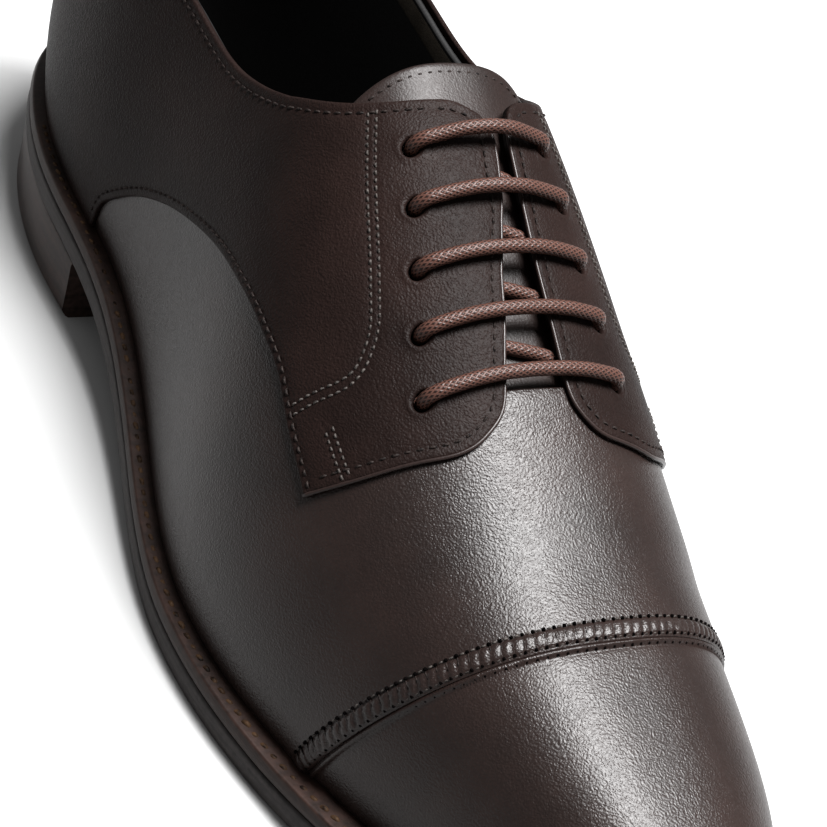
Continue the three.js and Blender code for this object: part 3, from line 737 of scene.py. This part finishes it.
# Greyer thread for the double rows and the cap seam: partly the thread's own grey, partly painted sheen.
SHEENED_ROW_THREAD = thread("row_thread_painted_sheen", (0.006, 0.005, 0.0046), (0.04, 0.035, 0.032), 0.5, level=0.06)
# Near-black matte material for the pieces on the cap seam's needle holes: painted shade in the holes.
HOLE_PAINTED_SHADE = thread("needle_hole_painted_shade", (0.0006, 0.0005, 0.0005), (0.0012, 0.001, 0.001), 1.0, level=0.0)
WELT_THREAD = thread("welt_thread", (0.003, 0.0016, 0.001), (0.032, 0.0175, 0.009), 0.6, 620.0, level=0.05)
LACE = lace_material_with_painted_shade("lace_braid_painted_shade", (0.004, 0.0016, 0.0012), (0.038, 0.017, 0.0125))


# Outlines of the upper's pieces

def eyelet_places(side):
    (first, half_first), (last, half_last) = EYELETS[side]
    places = []
    for pair in range(PAIRS):
        t = pair / (PAIRS - 1)
        share = first + (last - first) * t
        half = (half_first + (half_last - half_first) * t) * BALL_WIDTH
        a = chart(share, 0.0)[0]
        across = np.linspace(0, 0.6, 600)
        line = np.stack([np.full(600, a), side * across * CHART_B], -1)
        reach = np.abs(on_last(line)[:, 1] - middle(share))
        places.append(line[np.searchsorted(reach, half)])
    return np.array(places)


def ring_round(centre, radius, count=22):
    along, across = axes_at(centre[None])
    scale = np.array([np.linalg.norm(along[0]), np.linalg.norm(across[0])])
    angle = 2 * np.pi * np.arange(count) / count
    return centre + np.stack([np.cos(angle), np.sin(angle)], -1) * radius / scale


def feather_line(start, end, side, spacing=1.2):
    return resample(np.stack([np.linspace(start, end, 200), np.full(200, side * CHART_B)], -1), spacing)


quarter_seam = {side: smooth(QUARTER_SEAM, side) for side in (LATERAL, MEDIAL)}
tab_edge = {LATERAL: smooth(TAB_LATERAL), MEDIAL: smooth(TAB_MEDIAL)}
collar = {side: collar_line(side) for side in (LATERAL, MEDIAL)}
eyelets = {side: eyelet_places(side) for side in (LATERAL, MEDIAL)}
BACK_SEAM = 0.12


def quarter_outline(side):
    seam = quarter_seam[side]
    rim = collar[side]
    rim = rim[rim[:, 0] >= BACK_SEAM]
    foot = feather_line(BACK_SEAM, seam[0, 0], side)
    back_top = np.array([[BACK_SEAM, np.interp(BACK_SEAM, collar[side][:, 0], collar[side][:, 1])]])
    back = resample(np.vstack([back_top, foot[:1]]), 1.2)
    loop = np.vstack([foot[:-1], seam[:-1], tab_edge[side][:-1], rim[::-1][1:], back[:-1]])
    keep = np.linalg.norm(np.roll(loop, -1, 0) - loop, axis=1) > 1e-4
    return loop[keep]


def quarter_rows(side):
    """Stitch rows of a quarter: edge of the seam, tab and facing, collar, double row, bar tack."""
    inward = 1 if side == LATERAL else -1
    seam_row = offset(quarter_seam[side], 1.6 * inward)[4:]
    tab_row = offset(tab_edge[side], 2.1 * inward)
    join = offset(quarter_seam[side], 1.6 * inward)[-1]
    tab_row = tab_row[np.linalg.norm(tab_row - join, axis=1) > 2.4]
    collar_row = offset(collar[side], -2.0 * inward)
    collar_row = collar_row[collar_row[:, 0] > 1.5]
    double = smooth(DOUBLE_ROW, side)
    tack = smooth(BAR_TACK, side)
    return {
        "edge": [seam_row, tab_row, collar_row[:-2]],
        "double": [offset(double, -0.9), offset(double, 0.9), offset(tack, -0.8), offset(tack, 0.8)],
    }


def quarter_thickness(ab):
    """Quarters are lined, and so thicker, along their facings and tabs."""
    lined = np.clip((ab[:, 0] - 165) / 20, 0, 1) * np.clip((60 - np.abs(ab[:, 1])) / 14, 0, 1)
    return 1.15 + 0.75 * lined


def rolled_edge(name, line, radius=0.42, sides=10):
    """Polished bead where a quarter's edge is turned in along its tab and facing."""
    centre = on_last(line) - outward(line) * (radius * 0.9)
    heading = unit(np.gradient(centre, axis=0))
    up = outward(line)
    aside = unit(np.cross(heading, up))
    turns = 2 * np.pi * np.arange(sides) / sides
    rings = [c + radius * (np.cos(turns)[:, None] * a + np.sin(turns)[:, None] * u)
             for c, a, u in zip(centre, aside, up)]
    points, faces = loft(rings)
    make_mesh(name, points, faces, EDGE, "upper_leather")


def quarters():
    edge_frames, double_frames = [], []
    for side, name in ((LATERAL, "quarter_lateral"), (MEDIAL, "quarter_medial")):
        rows = quarter_rows(side)
        lines = [line for group in rows.values() for row in group for line in flanks(row)]
        holes = [ring_round(centre, HOLE) for centre in eyelets[side]]
        rims = [ring_round(centre, HOLE + d, 26) for centre in eyelets[side] for d in (0.75, 1.1, 1.6, 2.2)]
        tree = near_rows([row for group in rows.values() for row in group])
        centres = on_last(eyelets[side])

        def relief(ab, points, tree=tree, centres=centres):
            height = groove(tree, points, 0.16, 0.5)
            reach = np.linalg.norm(points[:, None] - centres[None], axis=2).min(1)
            height += 0.22 * np.exp(-((reach - HOLE - 0.75) / 0.55)**2)
            height += 0.10 * np.sin(points[:, 0] / 9.0 + points[:, 2] / 13.0) * np.sin(points[:, 0] / 23.0)
            return height

        panel(name, quarter_outline(side), QUARTER, "upper_leather", 0.0, quarter_thickness, relief=relief,
              rows=lines + rims, holes=holes, nodes=("upper",) if side == LATERAL else ())
        bead = tab_edge[side]
        rolled_edge(name + "_edge", bead[bead[:, 0] > chart(0.503, 0.0)[0]])
        edge_frames += [stitch_frames(row, 0.0, 2.3) for row in rows["edge"]]
        double_frames += [stitch_frames(row, 0.0, 1.55) for row in rows["double"]]
    thread_mesh("edge_stitches", edge_frames, THREAD, "upper_leather", 1.7, 0.26, 0.05)
    thread_mesh("double_stitches", double_frames, SHEENED_ROW_THREAD, "upper_leather", 1.15, 0.24, 0.04, seed=2)


def vamp_outline():
    """From the cap seam back under the quarters, with its throat edge under the lowest bar."""
    seam = cap_line(0.0)
    hidden = {}
    for side in (LATERAL, MEDIAL):
        inward = 1 if side == LATERAL else -1
        line = offset(quarter_seam[side], 8.0 * inward)
        line[:, 1] = np.clip(line[:, 1], -CHART_B, CHART_B)
        hidden[side] = line[: int(len(line) * 0.86)]
    throat = smooth([(0.640, -0.50), (0.645, -0.30), (0.648, -0.10), (0.649, 0.0), (0.648, 0.10),
                     (0.645, 0.30), (0.640, 0.50)])
    left = feather_line(hidden[LATERAL][0, 0] - 6, seam[0, 0], LATERAL)
    right = feather_line(seam[-1, 0], hidden[MEDIAL][0, 0] - 6, MEDIAL)
    loop = np.vstack([left[:-1], seam[:-1], right, hidden[MEDIAL], throat[::-1], hidden[LATERAL][::-1]])
    keep = np.linalg.norm(np.roll(loop, -1, 0) - loop, axis=1) > 1e-4
    return resample(loop[keep], 0.8, closed=True)


CAP_ROWS = {"behind": BAND + 0.1, "edge": 0.75, "ahead": -0.95}
CAP_PITCH = 2.05
CAP_SLANT = 0.32
PUFF = 0.5
band_back = cap_line(CAP_ROWS["behind"], 0.3)
band_run = float(np.sum(np.linalg.norm(np.diff(on_last(band_back), axis=0), axis=1)))
CAP_STITCHES = int(round(band_run / CAP_PITCH))


def cap_holes(name):
    """Places on the chart of the needle holes along one row of the cap seam."""
    line = cap_line(CAP_ROWS[name], 0.3)
    behind = CAP_ROWS[name] - CAP_ROWS["edge"]
    marks = (np.arange(1, CAP_STITCHES - 1) + CAP_SLANT * behind / CAP_PITCH) / CAP_STITCHES
    share = np.linspace(0, 1, len(line))
    return np.stack([np.interp(marks, share, line[:, k]) for k in (0, 1)], -1)


def line_measure(line, spacing=0.3):
    """Distance run along a line, for points near it."""
    even = on_last(resample(line, spacing))
    tree = kdtree.KDTree(len(even))
    for i, p in enumerate(even):
        tree.insert(p, i)
    tree.balance()
    return lambda points: np.array([tree.find(p)[1] for p in points]) * spacing


def band_relief(points, along):
    """The band puffed between its first two rows and drawn in at each stitch, and the rows' grooves."""
    behind = seam_offset(points)
    t = np.clip((behind - CAP_ROWS["edge"]) / (CAP_ROWS["behind"] - CAP_ROWS["edge"]), 0, 1)
    stitch = along / band_run * CAP_STITCHES - CAP_SLANT * (behind - CAP_ROWS["edge"]) / CAP_PITCH
    from_stitch = np.abs((stitch + 0.5) % 1 - 0.5) * CAP_PITCH
    drawn = 1 - 0.7 * np.exp(-(from_stitch / 0.32)**2)
    height = PUFF * np.sin(np.pi * t)**0.45 * drawn
    for place in (CAP_ROWS["behind"], CAP_ROWS["edge"]):
        height -= 0.2 * np.exp(-((behind - place) / 0.32)**2)
    return height


def ladder_frames():
    """Threads that cross the band at each stitch."""
    first, second = cap_holes("behind"), cap_holes("edge")
    ends = [on_last(first, VAMP_FACE), on_last(second, VAMP_FACE)]
    heading = unit(ends[1] - ends[0])
    up = outward((first + second) / 2)
    return (ends[0] + ends[1]) / 2, heading, up, np.cross(up, heading)


def vamp_and_cap():
    fine = (0.25, 0.45, 0.6, 0.8, 1.05, 1.4, 1.8, 2.2, 2.6, 3.0, 3.4, 3.75, 4.05, 4.25, 4.5, 4.9)
    band_lines = [cap_line(d, 0.5) for d in fine]
    measure = line_measure(cap_line(CAP_ROWS["behind"], 0.3))

    def relief(ab, points):
        swell = 0.16 * np.exp(-((points[:, 0] - 214) / 7.0)**2) * np.sin(points[:, 1] / 17.0)
        dip = -0.16 * np.exp(-((points[:, 0] - 226 + 0.12 * np.abs(points[:, 1])) / 6.0)**2)
        height = (swell + dip) * np.clip(seam_offset(points) / 8, 0, 1)
        near = seam_offset(points) < 6
        if near.any():
            height[near] += band_relief(points[near], measure(points[near]))
        return height

    panel("vamp", vamp_outline(), UPPER, "upper_leather", VAMP_FACE, 1.2, 0.35, 2.0, relief, band_lines)
    hidden = cap_line(2.6)
    toe = np.stack([np.full(90, CHART_A), np.linspace(CHART_B, -CHART_B, 90)], -1)
    left = feather_line(CHART_A, hidden[0, 0], LATERAL)
    right = feather_line(hidden[-1, 0], CHART_A, MEDIAL)
    loop = np.vstack([hidden[:-1], right[:-1], toe[:-1], left[:-1]])
    ahead_lines = [cap_line(d, 0.6) for d in (0.1, -0.1, -0.3, -0.5, -0.7, -0.9, -1.15, -1.4, -1.7, -2.2)]

    def cap_relief(ab, points):
        behind = seam_offset(points)
        ridge = 0.66 * np.exp(-((behind + 0.1) / 0.5)**2)
        return ridge - 0.2 * np.exp(-((behind - CAP_ROWS["ahead"]) / 0.3)**2)

    panel("toe_cap", loop, UPPER, "upper_leather", CAP_FACE, 1.2, 0.4, 2.0, cap_relief, ahead_lines,
          zipped=lambda ab: ab[:, 0] > CHART_A - 1e-6)
    rows = (("behind", VAMP_FACE), ("edge", VAMP_FACE), ("ahead", CAP_FACE))
    between, hole_shade_frames = [], []
    for name, level in rows:
        holes = cap_holes(name)
        between.append(frames_between(holes, level))
        middle_, heading, up, aside = frames_between(offset_half(holes), level)
        hole_shade_frames.append((middle_, heading, up, aside))
    thread_mesh("cap_stitches", between, SHEENED_ROW_THREAD, "upper_leather", 1.15, 0.2, 0.0, 0.1, seed=3)
    # Near-black pieces on the cap seam's needle holes: painted shade where the holes sink in.
    thread_mesh("cap_holes", hole_shade_frames, HOLE_PAINTED_SHADE, "upper_leather", 0.9, 0.34, 0.08, seed=8)
    thread_mesh("cap_ladder", [ladder_frames()], THREAD, "upper_leather", 2.9, 0.17, 0.16, seed=6)


def offset_half(row):
    """Points half way between those of a row, so that the row's own points are their middles."""
    mid = (row[1:] + row[:-1]) / 2
    return np.vstack([2 * row[:1] - mid[:1], mid, 2 * row[-1:] - mid[-1:]])


def tongue():
    rows = 0.36
    side_a = chart(0.449, 0.0)[0]
    top = smooth([(0.466, -rows), (0.457, -0.31), (0.4505, -0.22), (0.4475, -0.10), (0.4475, 0.06),
                  (0.4505, 0.20), (0.456, 0.28), (0.464, 0.34), (0.474, rows)])
    low = chart(0.70, 0.0)[0]
    right = resample(np.array([top[-1], [low, 0.3 * CHART_B]]), 1.2)
    left = resample(np.array([[low, -0.3 * CHART_B], top[0]]), 1.2)
    loop = np.vstack([top[:-1], right, left[:-1]])
    row = offset(top, -2.4)[3:-3]
    tree = near_rows([row])

    def face(ab):
        end = np.clip((ab[:, 0] - chart(0.624, 0.0)[0]) / 9.0, 0, 1)
        return TONGUE_FACE + 1.55 * end**2 * (3 - 2 * end)

    def relief(ab, points):
        roll = np.clip(1 - (ab[:, 0] - side_a) / 9.0, 0, 1)
        return groove(tree, points, 0.15, 0.5) + 1.1 * roll**2

    panel("tongue", loop, TONGUE_LEATHER, "upper_leather", face, 1.7, 0.6, 1.6, relief, flanks(row),
          nodes=("tongue",))
    thread_mesh("tongue_stitches", [stitch_frames(row, TONGUE_FACE + 0.75, 2.3)], THREAD, "upper_leather",
                1.7, 0.26, 0.05, seed=4)


def lining():
    """Inner leather of both quarters, and the soft strip that lines the collar's edge."""
    for side, name in ((LATERAL, "lining_lateral"), (MEDIAL, "lining_medial")):
        rim = offset(collar[side], -0.5 if side == LATERAL else 0.5)
        rim = rim[np.abs(rim[:, 1]) > 0.40 * CHART_B]
        rim[0, 0] = 0
        inner = smooth([(0.47, 0.405), (0.52, 0.43), (0.62, 0.45), (0.74, 0.45)], side)
        end = inner[-1, 0]
        foot = feather_line(0, end, side)
        drop = resample(np.array([inner[-1], foot[-1]]), 1.2)
        back = resample(np.vstack([foot[:1], rim[:1]]), 1.2)
        loop = np.vstack([rim, inner, drop[1:-1], foot[::-1], back[1:-1]])
        panel(name, loop, LINING, "lining", LINING_FACE, LINING_FACE - LINING_BACK, 0.45, 2.6,
              zipped=lambda ab: ab[:, 0] < 1e-6)
        strip_top = offset(collar[side], -0.8 if side == LATERAL else 0.8)
        strip_low = offset(collar[side], -6.0 if side == LATERAL else 6.0)
        n = min(len(strip_top), len(strip_low))
        across = np.linspace(0, 1, 7)
        rings = []
        for k in range(n):
            line = strip_top[k] * (1 - across[:, None]) + strip_low[k] * across[:, None]
            line[:, 0] = np.clip(line[:, 0], 0, CHART_A)
            swell = 0.35 * np.sin(np.pi * across)
            face = on_last(line, LINING_BACK) - outward(line) * (0.12 + swell)[:, None]
            back_ = on_last(line, LINING_BACK) + outward(line) * 0.3
            rings.append(np.vstack([face, back_[::-1]]))
        points, faces = loft(rings)
        make_mesh(name.replace("lining", "collar_strip"), *weld(points, faces), FELT, "lining")


def lace():
    """One lace from the top medial eyelet, over each bar and under to the next pair."""
    route = []
    ride = LACE_RADIUS + 0.55
    bend = 2.6
    for pair in range(PAIRS):
        right, left = eyelets[MEDIAL][pair], eyelets[LATERAL][pair]
        for centre, sign in ((right, 1), (left, -1)):
            rim = on_last(centre[None])[0]
            up = outward(centre[None])[0]
            toward = unit(on_last((centre * (1, 0.88))[None])[0] - rim)
            turn = [rim + toward * bend * (1 - math.cos(a)) + up * (ride - bend + bend * math.sin(a))
                    for a in np.radians([0, 20, 45, 70, 90])]
            down = [rim + up * -1.9, rim + up * UNDER_LACE * 0.97]
            if sign > 0:
                route += [down[1], down[0]] + turn
                over = np.linspace(right[1] * 0.74, left[1] * 0.74, 7)
                line = np.stack([np.linspace(right[0], left[0], 7), over], -1)
                arch = (1.9, 1.1, 0.4, -0.1, -0.3)[pair] * np.sin(np.linspace(0, np.pi, 7))[:, None]**2
                route += list(on_last(line, 0.0) + outward(line) * (ride + arch))
            else:
                route += turn[::-1] + down
        if pair < PAIRS - 1:
            target = eyelets[MEDIAL][pair + 1]
            t = np.linspace(0.10, 0.90, 9)[:, None]
            line = left * (1 - t) + target * t
            route += list(on_last(line, UNDER_LACE))
    end = eyelets[LATERAL]
    up_run = np.stack([np.linspace(end[-1, 0] - 4, end[0, 0], 12), np.linspace(end[-1, 1], end[0, 1], 12) - 4.5], -1)
    route += list(on_last(up_run, UNDER_LACE))
    cord_mesh("lace", np.array(route))


def cord_mesh(name, route):
    """Round cord along a route, with the braid's own coordinates on its skin."""
    run = np.concatenate([[0], np.cumsum(np.linalg.norm(np.diff(route, axis=0), axis=1))])
    keep = np.concatenate([[True], np.diff(run) > 0.05])
    run, route = run[keep], route[keep]
    fine = np.arange(0, run[-1], 0.4)
    path = np.stack([np.interp(fine, run, route[:, k]) for k in range(3)], -1)
    for _ in range(12):
        path[1:-1] = path[1:-1] * 0.5 + (path[2:] + path[:-2]) * 0.25
    heading = unit(np.gradient(path, axis=0))
    sides, strands, turn = 18, 11, 1.35
    normal = unit(np.cross(heading[0], [0.3, 0.2, 1.0]))
    angle = 2 * np.pi * np.arange(sides) / sides
    rings, length = [], [0.0]
    for i, (centre, along) in enumerate(zip(path, heading)):
        normal = unit(normal - along * np.dot(normal, along))
        other = np.cross(along, normal)
        if i:
            length.append(length[-1] + float(np.linalg.norm(centre - path[i - 1])))
        rings.append(centre + LACE_RADIUS * (np.cos(angle)[:, None] * normal + np.sin(angle)[:, None] * other))
    points, faces = loft(rings)
    corner_uv = []
    for face in faces:
        wraps = len(face) == 4 and max(i % sides for i in face) - min(i % sides for i in face) > 1
        for i in face:
            ring, j = divmod(i, sides)
            column = sides if wraps and j == 0 else j
            corner_uv.append((length[ring] / turn, strands * column / sides))
    nodes = tuple(f"lace_bar_{pair + 1}" for pair in range(PAIRS))
    return make_mesh(name, points, faces, LACE, "lace", nodes, corner_uv=corner_uv)


# Sole

def rounded(low_grow, grow, top_grow, low, high, radius):
    """Levels of a plate's side with rounded edges, from its foot to its top."""
    turn = np.radians([0, 30, 60, 90])
    levels = [(low_grow - radius * (1 - math.sin(a)), low, radius * (1 - math.cos(a))) for a in turn]
    levels += [(grow, None, 0.5)]
    levels += [(top_grow - radius * (1 - math.cos(a)), high, -radius * (1 - math.sin(a))) for a in turn]
    made = []
    for grow_, base, more in levels:
        if base is None:
            made.append((grow_, lambda x, m=more: tread(x) + low + (high - low) * m))
        else:
            made.append((grow_, lambda x, b=base, m=more: tread(x) + b + m))
    return made


def sole():
    plate("outsole", rounded(-0.25, 0.0, -0.1, 0.0, OUTSOLE, 0.7), OUTSOLE_LOOK, "outsole", ("outsole",))
    base = OUTSOLE + GAP
    plate("welt", rounded(-0.1, 0.1, -0.15, base, base + WELT, 0.55), WELT_LOOK, "welt", ("welt",))
    top = -GAP
    levels = [(-2.6, lambda x: 0.0), (-2.0, lambda x: 0.25), (-1.25, lambda x: 1.1), (-1.0, lambda x: 1.7),
              (-0.8, lambda x: 0.5 * tread(x)), (-0.45, lambda x: tread(x) + top - 0.5),
              (-0.7, lambda x: tread(x) + top)]
    plate("heel_block", levels, HEEL_LOOK, "heel", ("heel_block",), float(station_of(HEEL_LENGTH / LENGTH)), 150, 40)
    inset = -(WELT_STEP + 1.4)
    plate("insole", [(inset, lambda x: tread(x) + FEATHER), (inset, lambda x: tread(x) + FEATHER + 1.9),
                     (inset - 0.5, lambda x: tread(x) + FEATHER + 2.4)], LINING, "lining", ("insole",), 1.0, 200)
    welt_stitches()


def welt_stitches():
    """Coarse welt stitches beside the feather line, half sunk and uneven."""
    rng = np.random.default_rng(7)
    frames = []
    for side in (LATERAL, MEDIAL):
        stations = np.linspace(station_of(0.14), 0.996, 3000)
        x, y = sole_point(stations, side, -WELT_STEP + FOOT_FILL + 0.95)
        run = np.concatenate([[0], np.cumsum(np.hypot(np.diff(x), np.diff(y)))])
        marks = np.arange(0, run[-1], 2.9)
        px, py = np.interp(marks, run, x), np.interp(marks, run, y)
        points = np.stack([px, py, tread(px) + OUTSOLE + GAP + WELT], -1)
        heading = unit(points[1:] - points[:-1])
        mid = (points[1:] + points[:-1]) / 2
        up = np.tile([0.0, 0.0, 1.0], (len(mid), 1))
        mid = mid + up * rng.normal(-0.08, 0.12, (len(mid), 1))
        frames.append((mid, heading, up, np.cross(up, heading)))
    thread_mesh("welt_stitches", frames, WELT_THREAD, "welt", 2.6, 0.5, -0.02, 0.2, seed=5)


# Camera, floor and light

CAMERA_AT = (471.1, -242.48, 320.68)
CAMERA_AIM = (164.88, -0.81, 40.0)
CAMERA_ROLL = 21.29
FOCAL_PIXELS = 2439.3
IMAGE_PIXELS = 827.0


def camera():
    data = bpy.data.cameras.new("camera")
    data.sensor_fit = "HORIZONTAL"
    data.sensor_width = 36.0
    data.lens = FOCAL_PIXELS / IMAGE_PIXELS * data.sensor_width
    data.clip_start, data.clip_end = 0.01, 50.0
    obj = bpy.data.objects.new("camera", data)
    bpy.context.scene.collection.objects.link(obj)
    at, aim = Vector(to_world(CAMERA_AT)), Vector(to_world(CAMERA_AIM))
    turn = (aim - at).to_track_quat("-Z", "Y")
    roll = Matrix.Rotation(math.radians(CAMERA_ROLL), 4, "Z")
    obj.matrix_world = Matrix.Translation(at) @ turn.to_matrix().to_4x4() @ roll
    bpy.context.scene.camera = obj


def area_light(name, place, aim, size, power, color=(1, 1, 1)):
    data = bpy.data.lights.new(name, "AREA")
    data.shape = "RECTANGLE"
    data.size, data.size_y = size
    data.energy = power
    data.color = color
    obj = bpy.data.objects.new(name, data)
    bpy.context.scene.collection.objects.link(obj)
    place, aim = Vector(place), Vector(aim)
    obj.matrix_world = Matrix.Translation(place) @ (aim - place).to_track_quat("-Z", "Y").to_matrix().to_4x4()


def studio():
    mesh = bpy.data.meshes.new("floor")
    reach = 6.0
    mesh.from_pydata([(-reach, -reach, 0), (reach, -reach, 0), (reach, reach, 0), (-reach, reach, 0)], [], [(0, 1, 2, 3)])
    floor = bpy.data.objects.new("floor", mesh)
    bpy.context.scene.collection.objects.link(floor)
    material, tree, shader = new_material("floor", (0.255, 0.255, 0.255), 0.8)
    where = node(tree, "ShaderNodeTexCoord").outputs["Object"]
    cloud = node(tree, "ShaderNodeTexNoise", {"Vector": where, "Scale": 2.0, "Detail": 2.0})
    tree.links.new(ramp(tree, cloud.outputs["Fac"], [(0.3, grey(0.245)), (0.7, grey(0.265))]),
                   shader.inputs["Base Color"])
    shader.inputs["Specular IOR Level"].default_value = 0.1
    mesh.materials.append(material)
    world = bpy.data.worlds.new("world")
    bpy.context.scene.world = world
    world.use_nodes = True
    world.node_tree.nodes["Background"].inputs["Color"].default_value = (1, 1, 1, 1)
    world.node_tree.nodes["Background"].inputs["Strength"].default_value = 0.45
    bpy.context.scene.view_settings.view_transform = "Standard"
    area_light("key", (0.17, 0.22, 1.12), (0.03, 0, 0.06), (0.36, 0.62), 88)


camera()
quarters()
vamp_and_cap()
tongue()
lining()
lace()
sole()
studio()
